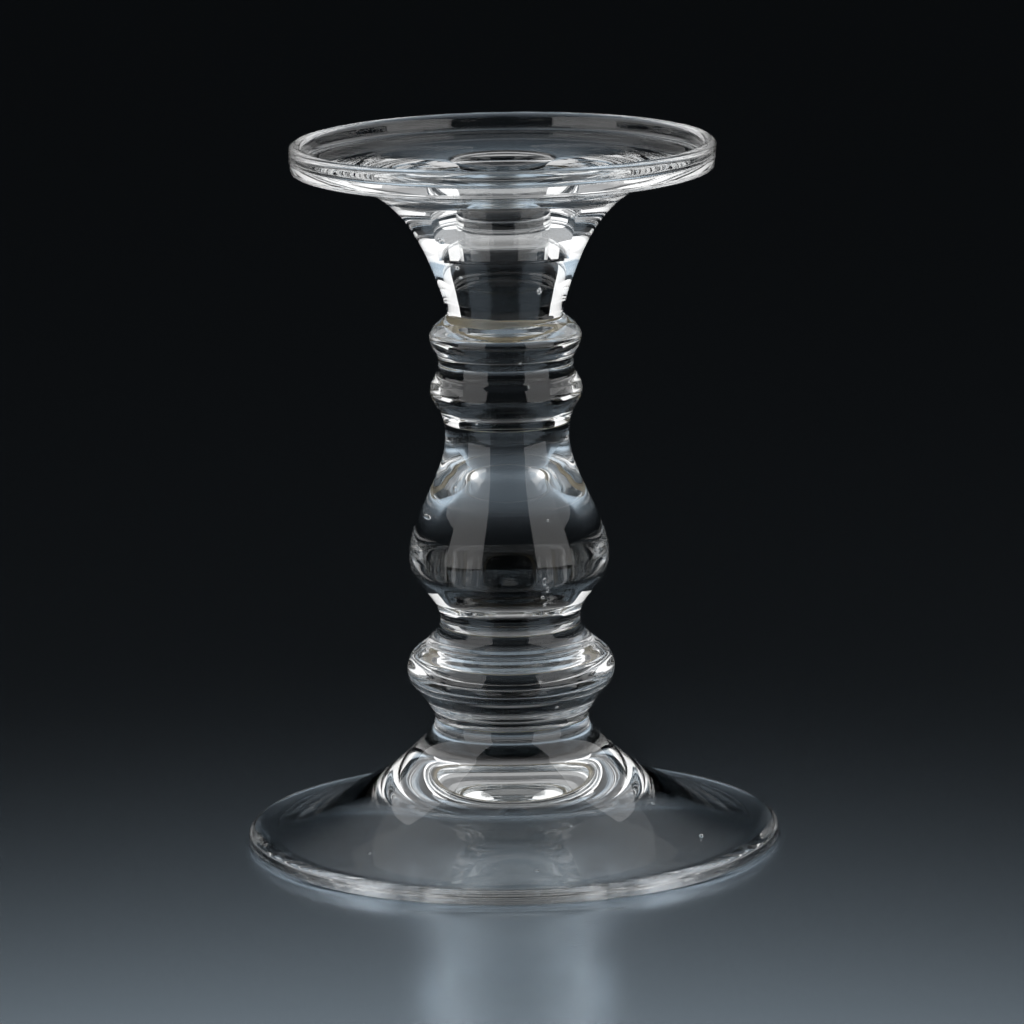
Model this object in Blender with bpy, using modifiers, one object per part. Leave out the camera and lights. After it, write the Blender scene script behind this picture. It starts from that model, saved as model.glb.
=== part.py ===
"""A turned clear glass candlestick.

Five solid glass pieces stand on one axis and are bonded end to end: a domed foot, a stepped
collar, a pear-shaped bulb, a double-ringed collar and a dished plate with a taper socket.
Metres, +Z up, origin on the axis in the plane the foot stands on.
"""
import math

import bmesh
import bpy

MM = 0.001
SIDES = 40              # flats around each turned piece
CURVE_STEPS = 2         # points between two stations of an outline
GAP = 0.3 * MM          # clearance between a bond and the glass above and below it
BOND = 0.4 * MM         # thickness of a bond
BOND_BULGE = 0.2 * MM   # how far a bond's edge stands out at half its thickness
MERGE = 0.00001         # points of a turned piece closer than this are one

# driving dimensions of the whole
HEIGHT = 152.4 * MM
FOOT_RADIUS = 57.7 * MM
PLATE_RADIUS = 45.5 * MM

# heights of the four joints, and the radius of the glass that meets there
FOOT_JOINT, FOOT_NECK = 27.2 * MM, 16.5 * MM
BULB_JOINT, BULB_NECK = 47.7 * MM, 15.1 * MM
NECK_JOINT, UPPER_NECK = 92.0 * MM, 13.5 * MM
PLATE_JOINT, PLATE_NECK = 114.6 * MM, 12.1 * MM
HALF_JOINT = GAP + BOND / 2

# foot
RIM_ROUND = 1.4 * MM           # rounding of the foot's outer edge
CONTACT_INNER = 51.0 * MM      # the flat ring that the foot stands on reaches in to here
CONTACT_OUTER = 56.0 * MM
HOLLOW_TOP = 14.6 * MM         # height of the hollow under the foot, on the axis

# plate and taper socket
LIP_ROUND = 1.4 * MM
WALL = 3.2 * MM                # the plate's upright rim
DISH_DEPTH = 3.7 * MM
DISH_CORNER = 1.3 * MM         # fillet between the rim and the dish floor
WALL_FOOT = 146.3 * MM         # height of the rim's lower outer edge
SOCKET_MOUTH = 10.9 * MM       # radius of the socket where it opens in the dish floor
SOCKET_END = 9.2 * MM          # radius of the socket at its flat floor
SOCKET_DEPTH = 19.0 * MM
SOCKET_EDGE = 0.9 * MM         # rounding of the socket's mouth


def clear_scene():
    for item in list(bpy.data.objects):
        bpy.data.objects.remove(item, do_unlink=True)


def new_collection(name):
    collection = bpy.data.collections.new(name)
    bpy.context.scene.collection.children.link(collection)
    return collection


def flow(stations, steps=CURVE_STEPS):
    """Points of a smooth curve through (radius, height) stations given in millimetres."""
    points = []
    last = len(stations) - 1
    for i in range(last):
        before, start = stations[max(i - 1, 0)], stations[i]
        end, after = stations[i + 1], stations[min(i + 2, last)]
        for step in range(steps):
            t = step / steps
            points.append(tuple(MM * between(before[k], start[k], end[k], after[k], t)
                                for k in (0, 1)))
    points.append((stations[-1][0] * MM, stations[-1][1] * MM))
    return points


def between(before, start, end, after, t):
    """Catmull-Rom value between start and end at t from 0 to 1."""
    slope_in, slope_out = (end - before) / 2, (after - start) / 2
    rise = end - start
    return (start + t * slope_in + t * t * (3 * rise - 2 * slope_in - slope_out)
            + t ** 3 * (slope_in + slope_out - 2 * rise))


def arc(radius, height, size, start, end, steps):
    """Points of an arc about (radius, height), from angle start to angle end in degrees."""
    points = []
    for step in range(steps + 1):
        angle = math.radians(start + (end - start) * step / steps)
        points.append((radius + size * math.cos(angle), height + size * math.sin(angle)))
    return points


def turned(name, outline, collection, material):
    """Solid turned about Z from an outline that runs down its outer side, top to bottom."""
    mesh = bpy.data.meshes.new(name)
    bm = bmesh.new()
    verts = [bm.verts.new((radius, 0, height)) for radius, height in outline]
    for upper, lower in zip(verts, verts[1:]):
        bm.edges.new((upper, lower))
    bm.to_mesh(mesh)
    bm.free()
    item = bpy.data.objects.new(name, mesh)
    collection.objects.link(item)
    screw = item.modifiers.new("turn", "SCREW")
    screw.axis = "Z"
    screw.angle = math.tau
    screw.steps = SIDES
    screw.render_steps = SIDES
    screw.use_merge_vertices = True
    screw.merge_threshold = MERGE
    screw.use_smooth_shade = True
    mesh.materials.append(material)
    return item


def surface(name, color, roughness, transmission, ior):
    material = bpy.data.materials.new(name)
    material.use_nodes = True
    shader = material.node_tree.nodes["Principled BSDF"]
    shader.inputs["Base Color"].default_value = (*color, 1)
    shader.inputs["Metallic"].default_value = 0
    shader.inputs["Roughness"].default_value = roughness
    shader.inputs["Transmission Weight"].default_value = transmission
    shader.inputs["IOR"].default_value = ior
    return material


def clear_glass(piece):
    return surface("clear_glass_" + piece, (0.97, 0.98, 0.98), 0.02, 1.0, 1.5)


def bond_film(piece):
    return surface("bond_film_" + piece, (0.86, 0.74, 0.50), 0.25, 0.7, 1.48)


def hollow_under_foot():
    """Hollow of the foot: it follows the flare above it at a nearly even wall thickness."""
    return flow([(CONTACT_INNER / MM, 0), (46.0, 1.7), (40.0, 4.2), (34.0, 7.0), (28.0, 9.9),
                 (22.0, 12.2), (16.0, 13.7), (9.0, 14.4), (0, HOLLOW_TOP / MM)])


def foot(collection):
    """Domed foot: a short solid neck flares to a thin round-edged rim over a hollow."""
    top = FOOT_JOINT - HALF_JOINT
    neck, stop = FOOT_NECK / MM, top / MM
    flare = flow([(neck, stop), (17.1, 24.9), (19.4, 21.9), (24.0, 17.7), (31.0, 12.6),
                  (40.0, 7.8), (50.0, 4.1), (55.9, 2.8)])
    rim = arc(FOOT_RADIUS - RIM_ROUND, RIM_ROUND, RIM_ROUND, 60, -60, 4)
    outline = [(0, top)] + flare + rim + [(CONTACT_OUTER, 0)] + hollow_under_foot()
    return turned("foot", outline, collection, clear_glass("foot"))


def lower_collar(collection):
    """Stepped collar: a broad ring with one step above it and three fine ridges below."""
    top, bottom = BULB_JOINT - HALF_JOINT, FOOT_JOINT + HALF_JOINT
    shoulder = flow([(BULB_NECK / MM, top / MM), (16.0, 45.9), (17.7, 44.3)])
    step = flow([(18.1, 43.7), (19.3, 42.9), (21.3, 41.1), (22.4, 38.4), (22.1, 35.9),
                 (21.2, 34.5)])
    ridges = flow([(20.6, 34.1), (20.1, 33.2), (19.2, 31.9), (18.5, 31.4), (18.0, 30.5),
                   (17.4, 29.4), (16.9, 29.0), (FOOT_NECK / MM, bottom / MM)])
    outline = [(0, top)] + shoulder + step + ridges + [(0, bottom)]
    return turned("lower_collar", outline, collection, clear_glass("lower_collar"))


def baluster_bulb(collection):
    """Pear-shaped bulb, widest low down, drawn in to a long waist above."""
    top, bottom = NECK_JOINT - HALF_JOINT, BULB_JOINT + HALF_JOINT
    body = flow([(UPPER_NECK / MM, top / MM), (13.3, 88.3), (14.1, 83.8), (16.4, 78.0),
                 (19.1, 72.0), (21.0, 66.6), (21.5, 62.8), (20.7, 58.8), (18.4, 55.6),
                 (16.2, 52.6), (15.2, 50.0), (BULB_NECK / MM, bottom / MM)])
    outline = [(0, top)] + body + [(0, bottom)]
    return turned("baluster_bulb", outline, collection, clear_glass("baluster_bulb"))


def upper_collar(collection):
    """Double-ringed collar with a narrow groove between its two rounded rings."""
    top, bottom = PLATE_JOINT - HALF_JOINT, NECK_JOINT + HALF_JOINT
    ring = flow([(12.9, top / MM), (15.0, 112.9), (16.3, 110.8), (15.9, 108.6),
                 (14.8, 106.8), (14.5, 105.2)])
    second = flow([(14.5, 104.4), (14.9, 102.6), (15.9, 100.7), (16.4, 98.6), (15.6, 96.5),
                   (14.3, 94.3), (UPPER_NECK / MM, bottom / MM)])
    outline = [(0, top)] + ring + second + [(0, bottom)]
    return turned("upper_collar", outline, collection, clear_glass("upper_collar"))


def candle_plate(collection):
    """Dished plate on a solid trumpet neck, with a tapered socket in its middle."""
    bottom = PLATE_JOINT + HALF_JOINT
    floor = HEIGHT - DISH_DEPTH
    end = floor - SOCKET_DEPTH
    inner = PLATE_RADIUS - WALL
    socket = [(0, end), (SOCKET_END, end)]
    mouth = arc(SOCKET_MOUTH + SOCKET_EDGE, floor - SOCKET_EDGE, SOCKET_EDGE, 180, 90, 3)
    corner = arc(inner - DISH_CORNER, floor + DISH_CORNER, DISH_CORNER, -90, 0, 4)
    lip = arc(PLATE_RADIUS - WALL / 2, HEIGHT - LIP_ROUND, LIP_ROUND, 180, 90, 3)
    lip += arc(PLATE_RADIUS - LIP_ROUND, HEIGHT - LIP_ROUND, LIP_ROUND, 90, 0, 4)
    under = flow([(45.2, WALL_FOOT / MM + 1.2), (44.3, WALL_FOOT / MM), (38.0, 145.2),
                  (30.5, 143.3), (24.8, 139.6), (20.6, 135.0), (17.4, 129.6), (14.8, 123.4),
                  (13.1, 118.4), (PLATE_NECK / MM, bottom / MM)])
    outline = socket + mouth + corner + lip + under + [(0, bottom)]
    return turned("candle_plate", outline, collection, clear_glass("candle_plate"))


def bond(name, height, radius, collection):
    """Thin clear film between two glass faces, its edge bulging slightly."""
    top, bottom = height + BOND / 2, height - BOND / 2
    outline = [(0, top), (radius, top), (radius + BOND_BULGE, height), (radius, bottom),
               (0, bottom)]
    return turned(name, outline, collection, bond_film(name))


def main():
    clear_scene()
    parts = new_collection("glass_candlestick")
    foot(parts)
    bond("foot_bond", FOOT_JOINT, FOOT_NECK, parts)
    lower_collar(parts)
    bond("bulb_bond", BULB_JOINT, BULB_NECK, parts)
    baluster_bulb(parts)
    bond("neck_bond", NECK_JOINT, UPPER_NECK, parts)
    upper_collar(parts)
    bond("plate_bond", PLATE_JOINT, PLATE_NECK, parts)
    candle_plate(parts)


main()
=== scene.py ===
import bpy
import bmesh
import math
from mathutils import Matrix, Vector


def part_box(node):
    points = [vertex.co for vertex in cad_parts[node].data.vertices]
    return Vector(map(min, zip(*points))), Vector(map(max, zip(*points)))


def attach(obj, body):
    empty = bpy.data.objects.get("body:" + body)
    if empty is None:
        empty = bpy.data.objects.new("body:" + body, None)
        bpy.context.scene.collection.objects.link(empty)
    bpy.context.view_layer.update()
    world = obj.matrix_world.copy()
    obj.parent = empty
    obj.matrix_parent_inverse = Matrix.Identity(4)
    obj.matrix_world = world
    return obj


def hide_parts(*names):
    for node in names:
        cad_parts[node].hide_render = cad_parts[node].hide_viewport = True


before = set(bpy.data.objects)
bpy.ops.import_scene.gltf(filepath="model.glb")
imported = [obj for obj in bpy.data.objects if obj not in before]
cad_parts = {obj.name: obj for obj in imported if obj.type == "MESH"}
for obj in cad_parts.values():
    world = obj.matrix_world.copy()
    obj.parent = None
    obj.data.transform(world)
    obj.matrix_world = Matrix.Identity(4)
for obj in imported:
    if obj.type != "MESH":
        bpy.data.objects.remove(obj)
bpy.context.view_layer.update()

mm = 0.001
turnSteps = 192         # facets round every turned piece
curveSteps = 8          # points from one station of an outline to the next
arcSteps = 10
sharpAngle = 38         # an edge that turns by more degrees than this stays sharp
mergeGap = 0.004 * mm   # points closer than this are one
slimGap = 0.001 * mm    # edges shorter than this go
joinLap = 0.05 * mm     # each glass piece runs this far past the middle of its bonds


def nodeSpan(name):
    # lower end, upper end and outer radius of a CAD node
    low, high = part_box(name)
    return low[2], high[2], high[0]


def between(before, start, end, after, t):
    slopeIn, slopeOut = (end - before) / 2, (after - start) / 2
    rise = end - start
    return (start + t * slopeIn + t * t * (3 * rise - 2 * slopeIn - slopeOut)
            + t ** 3 * (slopeIn + slopeOut - 2 * rise))


def flow(stations):
    # a smooth curve through (radius, height) stations in millimetres
    points = []
    last = len(stations) - 1
    for i in range(last):
        before, start = stations[max(i - 1, 0)], stations[i]
        end, after = stations[i + 1], stations[min(i + 2, last)]
        for step in range(curveSteps):
            t = step / curveSteps
            points.append(tuple(between(before[k], start[k], end[k], after[k], t) * mm
                                for k in (0, 1)))
    points.append((stations[-1][0] * mm, stations[-1][1] * mm))
    return points


def arc(radius, height, size, start, end):
    points = []
    for step in range(arcSteps + 1):
        angle = math.radians(start + (end - start) * step / arcSteps)
        points.append((radius + size * math.cos(angle), height + size * math.sin(angle)))
    return points


# seeds are gas bubbles: x, y, z and radius in millimetres, and how far one is drawn out upright
def addSeeds(bm, seeds):
    for x, y, z, size, stretch in seeds:
        made = bmesh.ops.create_uvsphere(bm, u_segments=16, v_segments=10, radius=size * mm)
        bmesh.ops.scale(bm, vec=(1, 1, stretch), verts=made["verts"])
        bmesh.ops.translate(bm, vec=(x * mm, y * mm, z * mm), verts=made["verts"])
        walls = {face for vert in made["verts"] for face in vert.link_faces}
        bmesh.ops.reverse_faces(bm, faces=list(walls))      # a closed wall that faces inwards


def turnPiece(name, outline, seeds=(), wobble=None):
    # an outline from the top of the axis, down the outside, to the bottom of the axis
    bm = bmesh.new()
    verts = [bm.verts.new((radius, 0, height)) for radius, height in outline]
    edges = [bm.edges.new(pair) for pair in zip(verts, verts[1:])]
    bmesh.ops.spin(bm, geom=verts + edges, cent=(0, 0, 0), axis=(0, 0, 1),
                   angle=math.tau, steps=turnSteps, use_merge=True)
    bmesh.ops.remove_doubles(bm, verts=bm.verts, dist=mergeGap)
    bmesh.ops.dissolve_degenerate(bm, dist=slimGap, edges=bm.edges)
    if wobble:
        for vert in bm.verts:
            vert.co += wobble(vert.co)
    bmesh.ops.recalc_face_normals(bm, faces=bm.faces)
    addSeeds(bm, seeds)
    mesh = bpy.data.meshes.new(name)
    bm.to_mesh(mesh)
    bm.free()
    mesh.shade_smooth()
    mesh.set_sharp_from_angle(angle=math.radians(sharpAngle))
    piece = bpy.data.objects.new(name, mesh)
    bpy.context.scene.collection.objects.link(piece)
    return piece


def finishPiece(piece, node, material):
    piece.data.materials.append(material)
    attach(piece, "root")
    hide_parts(node)
    return piece


print("glass")

glassLook = {"tint": (0.985, 0.99, 0.988, 1), "ior": 1.5, "roughness": 0.0,
             "waveScale": 60.0, "waveStretch": (1, 1, 3), "waveDetail": 1.5,
             "waveStrength": 0.035, "waveHeight": 0.001}


def makeGlass(name, look):
    # clear glass with a faint waviness that runs round the piece
    material = bpy.data.materials.new(name)
    material.use_nodes = True
    nodes, links = material.node_tree.nodes, material.node_tree.links
    shader = nodes["Principled BSDF"]
    shader.inputs["Base Color"].default_value = look["tint"]
    shader.inputs["IOR"].default_value = look["ior"]
    shader.inputs["Roughness"].default_value = look["roughness"]
    shader.inputs["Transmission Weight"].default_value = 1.0
    place = nodes.new("ShaderNodeTexCoord")
    stretch = nodes.new("ShaderNodeVectorMath")
    stretch.operation = "MULTIPLY"
    stretch.inputs[1].default_value = look["waveStretch"]
    waves = nodes.new("ShaderNodeTexNoise")
    waves.inputs["Scale"].default_value = look["waveScale"]
    waves.inputs["Detail"].default_value = look["waveDetail"]
    bump = nodes.new("ShaderNodeBump")
    bump.inputs["Strength"].default_value = look["waveStrength"]
    bump.inputs["Distance"].default_value = look["waveHeight"]
    links.new(place.outputs["Object"], stretch.inputs[0])
    links.new(stretch.outputs["Vector"], waves.inputs["Vector"])
    links.new(waves.outputs["Fac"], bump.inputs["Height"])
    links.new(bump.outputs["Normal"], shader.inputs["Normal"])
    return material


clearGlass = makeGlass("clearGlass", glassLook)

joints = {name: sum(nodeSpan(name)[:2]) / 2 for name in
          ("foot_bond", "bulb_bond", "neck_bond", "plate_bond")}

print("foot")

footShape = {"neck": 16.5, "rimRound": 1.4, "rimTurn": (58, -60),
             "contactInner": 51.0, "contactOuter": 56.0, "hollowTop": 14.6,
             "flare": [(17.1, 24.9), (19.4, 21.9), (24.0, 17.7), (31.0, 12.6), (40.0, 7.8),
                       (50.0, 4.1), (55.9, 2.8)],
             "hollow": [(46.0, 1.7), (40.0, 4.2), (34.0, 7.0), (28.0, 9.9), (22.0, 12.2),
                        (16.0, 13.7), (9.0, 14.4)],
             "seeds": [(4.7, -46.5, 4.2, 0.51, 0.8), (29.5, -14.5, 9.6, 0.43, 0.8),
                       (40, -24, 5.6, 0.51, 0.8), (-30.5, -33, 5, 0.43, 0.7),
                       (12, -31, 9.5, 0.32, 0.8), (-44, 8, 4.6, 0.43, 0.7),
                       (22, 38, 6.4, 0.43, 0.8)]}


def footOutline(shape):
    _, _, footRadius = nodeSpan("foot")
    top = joints["foot_bond"] + joinLap
    rimRound = shape["rimRound"] * mm
    flare = flow([(shape["neck"], top / mm)] + shape["flare"])
    rim = arc(footRadius - rimRound, rimRound, rimRound, *shape["rimTurn"])
    hollow = flow([(shape["contactInner"], 0)] + shape["hollow"] + [(0, shape["hollowTop"])])
    return [(0, top)] + flare + rim + [(shape["contactOuter"] * mm, 0)] + hollow


finishPiece(turnPiece("footGlass", footOutline(footShape), footShape["seeds"]), "foot",
            clearGlass)

print("stem")

# a piece of the stem: its bonds and their radii, lower then upper, and its curves, downwards
lowerCollarShape = {"bonds": ("foot_bond", "bulb_bond"), "necks": (16.5, 15.1),
                    "curves": [[(16.0, 45.9), (17.7, 44.3)],
                               [(18.1, 43.7), (19.3, 42.9), (21.3, 41.1), (22.4, 38.4),
                                (22.1, 35.9), (21.2, 34.5)],
                               [(20.6, 34.1), (20.1, 33.2), (19.2, 31.9), (18.5, 31.4),
                                (18.0, 30.5), (17.4, 29.4), (16.9, 29.0)]],
                    "seeds": [(6, -19, 38.6, 0.43, 0.8), (15, -9, 44, 0.43, 1),
                              (9, -13.5, 33, 0.36, 0.8)]}

bulbShape = {"bonds": ("bulb_bond", "neck_bond"), "necks": (15.1, 13.5),
             "curves": [[(13.3, 88.3), (14.1, 83.8), (16.4, 78.0), (19.1, 72.0), (21.0, 66.6),
                         (21.5, 62.8), (20.7, 58.8), (18.4, 55.6), (16.2, 52.6), (15.2, 50.0)]],
             "seeds": [(6.9, -15.5, 60.4, 0.55, 1.5), (7.6, -15.8, 58.9, 0.43, 1.4),
                       (6.6, -15, 57.4, 0.43, 1.2), (7.2, -14.4, 55.2, 0.41, 1.2),
                       (8.2, -15.5, 73, 0.32, 1), (4.4, -11, 83.6, 0.36, 0.8),
                       (-11, -10, 79, 0.58, 1.2), (-9, 9, 66, 0.43, 1.1)]}

upperCollarShape = {"bonds": ("neck_bond", "plate_bond"), "necks": (13.5, 12.9),
                    "curves": [[(15.0, 112.9), (16.3, 110.8), (15.9, 108.6), (14.8, 106.8),
                                (14.5, 105.2)],
                               [(14.5, 104.4), (14.9, 102.6), (15.9, 100.7), (16.4, 98.6),
                                (15.6, 96.5), (14.3, 94.3)]],
                    "seeds": [(3, -14.6, 106.9, 0.32, 0.7), (4.6, -13.5, 101.6, 0.29, 1.6),
                              (-6.4, -12.4, 93.6, 0.36, 0.7)]}


def stemOutline(shape):
    lowerBond, upperBond = shape["bonds"]
    lowerNeck, upperNeck = shape["necks"]
    top, bottom = joints[upperBond] + joinLap, joints[lowerBond] - joinLap
    curves = [list(curve) for curve in shape["curves"]]
    curves[0].insert(0, (upperNeck, top / mm))
    curves[-1].append((lowerNeck, bottom / mm))
    outline = [(0, top)]
    for curve in curves:
        outline += flow(curve)
    return outline + [(0, bottom)]


for name, node, shape in (("lowerCollarGlass", "lower_collar", lowerCollarShape),
                          ("bulbGlass", "baluster_bulb", bulbShape),
                          ("upperCollarGlass", "upper_collar", upperCollarShape)):
    finishPiece(turnPiece(name, stemOutline(shape), shape["seeds"]), node,
                clearGlass)

print("plate")

plateShape = {"wall": 3.2, "lipRound": 1.4, "dishDepth": 3.7, "corner": 1.3, "neck": 12.1,
              "mouth": 10.9, "mouthRound": 0.9, "socketDepth": 19.0, "socketEnd": 9.2,
              "under": [(45.2, 147.5), (44.3, 146.3), (38.0, 145.2), (30.5, 143.3),
                        (24.8, 139.6), (20.6, 135.0), (17.4, 129.6), (14.8, 123.4),
                        (13.1, 118.4)],
              "seeds": [(-9.2, -10, 127.5, 0.58, 1), (-8.4, -9, 125.3, 0.41, 1),
                        (6.8, -9.5, 122, 0.51, 1.7), (-11.4, -7.5, 134.5, 0.95, 1.1),
                        (13.5, -12, 141, 0.95, 1.2), (-20, -14, 145.8, 0.72, 0.6),
                        (24, -16, 146.2, 0.72, 0.6), (-30, -20, 147.2, 0.58, 0.6)]}


def plateOutline(shape):
    # the socket from its floor up, its mouth, the dish, the rim, and down the trumpet neck
    _, plateTop, plateRadius = nodeSpan("candle_plate")
    bottom = joints["plate_bond"] - joinLap
    floor = plateTop - shape["dishDepth"] * mm
    end = floor - shape["socketDepth"] * mm
    lip, edge, corner = shape["lipRound"] * mm, shape["mouthRound"] * mm, shape["corner"] * mm
    inner = plateRadius - shape["wall"] * mm
    outline = [(0, end), (shape["socketEnd"] * mm, end)]
    outline += arc(shape["mouth"] * mm + edge, floor - edge, edge, 180, 90)
    outline += arc(inner - corner, floor + corner, corner, -90, 0)
    outline += arc(plateRadius - shape["wall"] / 2 * mm, plateTop - lip, lip, 180, 90)
    outline += arc(plateRadius - lip, plateTop - lip, lip, 90, 0)
    outline += flow(shape["under"] + [(shape["neck"], bottom / mm)])
    return outline + [(0, bottom)]


finishPiece(turnPiece("plateGlass", plateOutline(plateShape), plateShape["seeds"]),
            "candle_plate", clearGlass)

print("bonds")

bondLook = {"clear": (0.95, 0.93, 0.86, 1), "tan": (0.86, 0.72, 0.48, 1), "fade": (0.35, 0.68),
            "roughness": 0.3, "transmission": 0.6, "ior": 1.48, "patchScale": 90.0,
            "patchDetail": 3.0, "bumpStrength": 0.4, "bumpHeight": 0.0003}

# every bond's radius, how far it stands out and rises there, how much it swells, and on which
# side, in millimetres and degrees
bondShapes = {
    "foot_bond": {"radius": 16.5, "proud": 0.15, "rise": 0.24, "swell": 0.2, "side": 0},
    "bulb_bond": {"radius": 15.1, "proud": 0.12, "rise": 0.22, "swell": 0.3, "side": 180},
    "neck_bond": {"radius": 13.5, "proud": 0.12, "rise": 0.22, "swell": 0.3, "side": 0},
    "plate_bond": {"radius": 12.1, "proud": 0.8, "rise": 1.0, "swell": 1.0, "side": -125},
}

# what the bonds share: how far in the ring reaches, half its thickness there, how full its
# corners are, its least size, and the height and number of its ripples
beadShape = {"inset": 0.7, "film": 0.14, "corner": 0.7, "least": 0.35, "ripple": 0.12,
             "ripples": 9}


def makeBond(look):
    # clear film with yellowed patches
    material = bpy.data.materials.new("bondFilm")
    material.use_nodes = True
    nodes, links = material.node_tree.nodes, material.node_tree.links
    shader = nodes["Principled BSDF"]
    shader.inputs["Roughness"].default_value = look["roughness"]
    shader.inputs["Transmission Weight"].default_value = look["transmission"]
    shader.inputs["IOR"].default_value = look["ior"]
    place = nodes.new("ShaderNodeTexCoord")
    patches = nodes.new("ShaderNodeTexNoise")
    patches.inputs["Scale"].default_value = look["patchScale"]
    patches.inputs["Detail"].default_value = look["patchDetail"]
    fade = nodes.new("ShaderNodeValToRGB")
    ends = fade.color_ramp.elements
    ends[0].position, ends[1].position = look["fade"]
    ends[0].color, ends[1].color = look["tan"], look["clear"]
    bump = nodes.new("ShaderNodeBump")
    bump.inputs["Strength"].default_value = look["bumpStrength"]
    bump.inputs["Distance"].default_value = look["bumpHeight"]
    links.new(place.outputs["Object"], patches.inputs["Vector"])
    links.new(patches.outputs["Fac"], fade.inputs["Fac"])
    links.new(fade.outputs["Color"], shader.inputs["Base Color"])
    links.new(patches.outputs["Fac"], bump.inputs["Height"])
    links.new(bump.outputs["Normal"], shader.inputs["Normal"])
    return material


bondFilm = makeBond(bondLook)


def addBond(node, shape, bead):
    # the joint's visible edge: a ring of film that swells to a bead on one side
    low, high, _ = nodeSpan(node)
    middle, side = (low + high) / 2, math.radians(shape["side"])
    film, inset, corner = bead["film"] * mm, bead["inset"] * mm, bead["corner"]
    radius, proud, rise = shape["radius"] * mm, shape["proud"] * mm, shape["rise"] * mm
    ring = [(radius - inset, middle + film), (radius, middle + rise),
            (radius + proud * corner, middle + rise * corner), (radius + proud, middle),
            (radius + proud * corner, middle - rise * corner), (radius, middle - rise),
            (radius - inset, middle - film), (radius - inset, middle + film)]

    def swell(point):
        angle = math.atan2(point.y, point.x)
        size = (bead["least"] + shape["swell"] * max(0, math.cos(angle - side)) ** 2
                + bead["ripple"] * math.sin(bead["ripples"] * angle))
        out = math.hypot(point.x, point.y)
        outside = max(0, out - radius)
        flat = Vector((point.x, point.y, 0)) / out
        return flat * outside * (size - 1) + Vector((0, 0, (point.z - middle) * (size - 1)))

    return finishPiece(turnPiece(node + "Film", ring, wobble=swell), node, bondFilm)


for node, shape in bondShapes.items():
    addBond(node, shape, beadShape)

print("stage")

stageLook = {"floorColor": (0.43, 0.53, 0.62, 1), "floorSize": 6.0, "floorDrop": 0.0002,
             "floorRoughness": 0.2, "floorMetal": 0.8}


def addFloor(look):
    bm = bmesh.new()
    bmesh.ops.create_grid(bm, x_segments=1, y_segments=1, size=look["floorSize"] / 2)
    mesh = bpy.data.meshes.new("floor")
    bm.to_mesh(mesh)
    bm.free()
    floor = bpy.data.objects.new("floor", mesh)
    bpy.context.scene.collection.objects.link(floor)
    material = bpy.data.materials.new("floorPaint")
    material.use_nodes = True
    shader = material.node_tree.nodes["Principled BSDF"]
    shader.inputs["Base Color"].default_value = look["floorColor"]
    shader.inputs["Roughness"].default_value = look["floorRoughness"]
    shader.inputs["Metallic"].default_value = look["floorMetal"]
    mesh.materials.append(material)
    floor.location.z = -look["floorDrop"]
    return floor


# every wing is a pair of side panels: its front, back, lower and upper edges, and its radiance
lightLook = {"aside": 0.3,
             "wings": ((-0.50, -0.08, 0.02, 0.55, 1.4), (-0.08, 0.40, 0.19, 0.60, 1.1)),
             "topPlace": (0, 0.35, 0.95), "topSize": (2.2, 1.3), "topRadiance": 0.25,
             "poolPlace": (-0.03, -0.55, 0.45), "poolAim": (-0.03, -0.42, 0),
             "poolAngle": 80, "poolSoftness": 0.08, "poolWatts": 60.0}


def aimFrom(place, target):
    return (Vector(target) - Vector(place)).to_track_quat("-Z", "Y")


def addPanel(name, place, aim, size, radiance):
    # a softbox of the given radiance, facing a point; matt surfaces aren't lit by it
    lamp = bpy.data.lights.new(name, "AREA")
    lamp.shape = "RECTANGLE"
    lamp.size, lamp.size_y = size
    lamp.energy = radiance * math.pi * size[0] * size[1]
    panel = bpy.data.objects.new(name, lamp)
    bpy.context.scene.collection.objects.link(panel)
    panel.location = place
    panel.rotation_euler = aimFrom(place, aim).to_euler()
    panel.visible_camera = False
    panel.visible_diffuse = False
    return panel


def addSoftboxes(look):
    for front, back, low, high, radiance in look["wings"]:
        y, z = (front + back) / 2, (low + high) / 2
        for side in (-1, 1):
            addPanel("wing", (side * look["aside"], y, z), (0, y, z),
                     (back - front, high - low), radiance)
    x, y, z = look["topPlace"]
    addPanel("overhead", (x, y, z), (x, y, 0), look["topSize"], look["topRadiance"])


def addFloorPool(floor, look):
    # a soft pool of light on the floor in front, fading to dark behind
    lamp = bpy.data.lights.new("floorPool", "SPOT")
    lamp.energy = look["poolWatts"]
    lamp.spot_size = math.radians(look["poolAngle"])
    lamp.spot_blend = 1.0
    lamp.shadow_soft_size = look["poolSoftness"]
    pool = bpy.data.objects.new("floorPool", lamp)
    bpy.context.scene.collection.objects.link(pool)
    pool.location = look["poolPlace"]
    pool.rotation_euler = aimFrom(look["poolPlace"], look["poolAim"]).to_euler()
    pool.visible_glossy = False
    lit = bpy.data.collections.new("floorOnly")
    lit.objects.link(floor)
    pool.light_linking.receiver_collection = lit


cameraLook = {"lens": 207.1, "sensor": 36, "near": 0.05, "place": (0, -1.2399, 0.3306),
              "aim": (0, 0, 0.07187), "roll": -0.98, "shift": 0.003515625}


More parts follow.
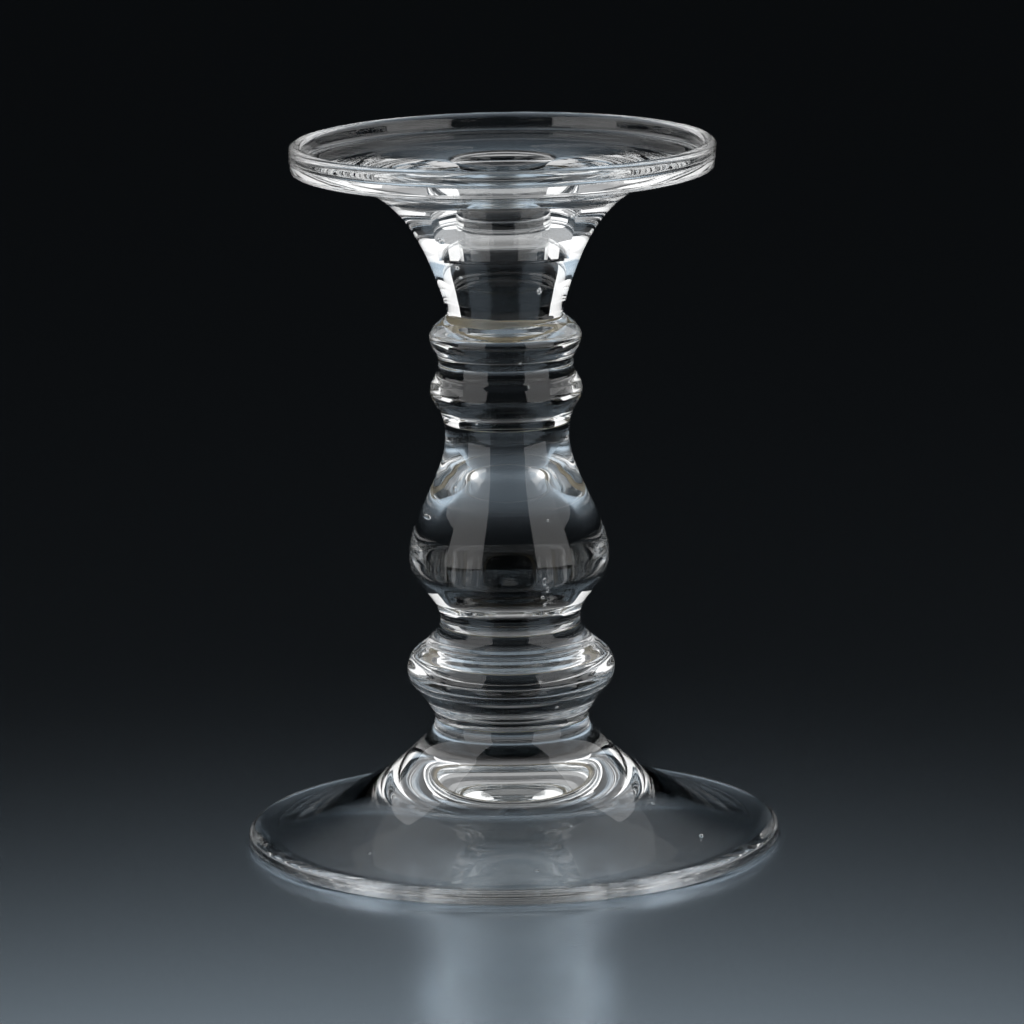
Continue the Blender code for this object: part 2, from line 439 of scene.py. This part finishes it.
def addCamera(look):
    camera = bpy.data.cameras.new("camera")
    camera.lens = look["lens"]
    camera.sensor_width = look["sensor"]
    camera.clip_start = look["near"]
    camera.shift_x = look["shift"]
    holder = bpy.data.objects.new("camera", camera)
    bpy.context.scene.collection.objects.link(holder)
    holder.location = look["place"]
    roll = Matrix.Rotation(math.radians(look["roll"]), 3, "Z")
    holder.rotation_euler = (aimFrom(look["place"], look["aim"]).to_matrix() @ roll).to_euler()
    bpy.context.scene.camera = holder


# the backdrop goes from none to full by how far a direction points up, and by how far behind
skyLook = {"color": (0.97, 0.98, 1.0, 1), "strength": 0.2, "rise": (0.30, 0.70),
           "behind": (-0.1, 0.5)}
lightPaths = 40         # light turns back and forth inside thin glass many times


def addWorld(look):
    # a dim backdrop that brightens upwards, and only behind the candlestick
    world = bpy.data.worlds.new("studio")
    world.use_nodes = True
    nodes, links = world.node_tree.nodes, world.node_tree.links
    place = nodes.new("ShaderNodeTexCoord")
    split = nodes.new("ShaderNodeSeparateXYZ")
    links.new(place.outputs["Generated"], split.inputs["Vector"])
    product = nodes.new("ShaderNodeMath")
    product.operation = "MULTIPLY"
    fades = (("Z", look["rise"], look["strength"]), ("Y", look["behind"], 1.0))
    for number, (axis, span, most) in enumerate(fades):
        fade = nodes.new("ShaderNodeMapRange")
        fade.interpolation_type = "SMOOTHSTEP"
        fade.inputs["From Min"].default_value, fade.inputs["From Max"].default_value = span
        fade.inputs["To Max"].default_value = most
        links.new(split.outputs[axis], fade.inputs["Value"])
        links.new(fade.outputs["Result"], product.inputs[number])
    nodes["Background"].inputs["Color"].default_value = look["color"]
    links.new(product.outputs["Value"], nodes["Background"].inputs["Strength"])
    world.cycles_visibility.diffuse = False
    bpy.context.scene.world = world


floor = addFloor(stageLook)
addSoftboxes(lightLook)
addFloorPool(floor, lightLook)
addCamera(cameraLook)
addWorld(skyLook)
bpy.context.scene.view_settings.view_transform = "Standard"
for kind in ("max_bounces", "transmission_bounces", "glossy_bounces"):
    setattr(bpy.context.scene.cycles, kind, lightPaths)
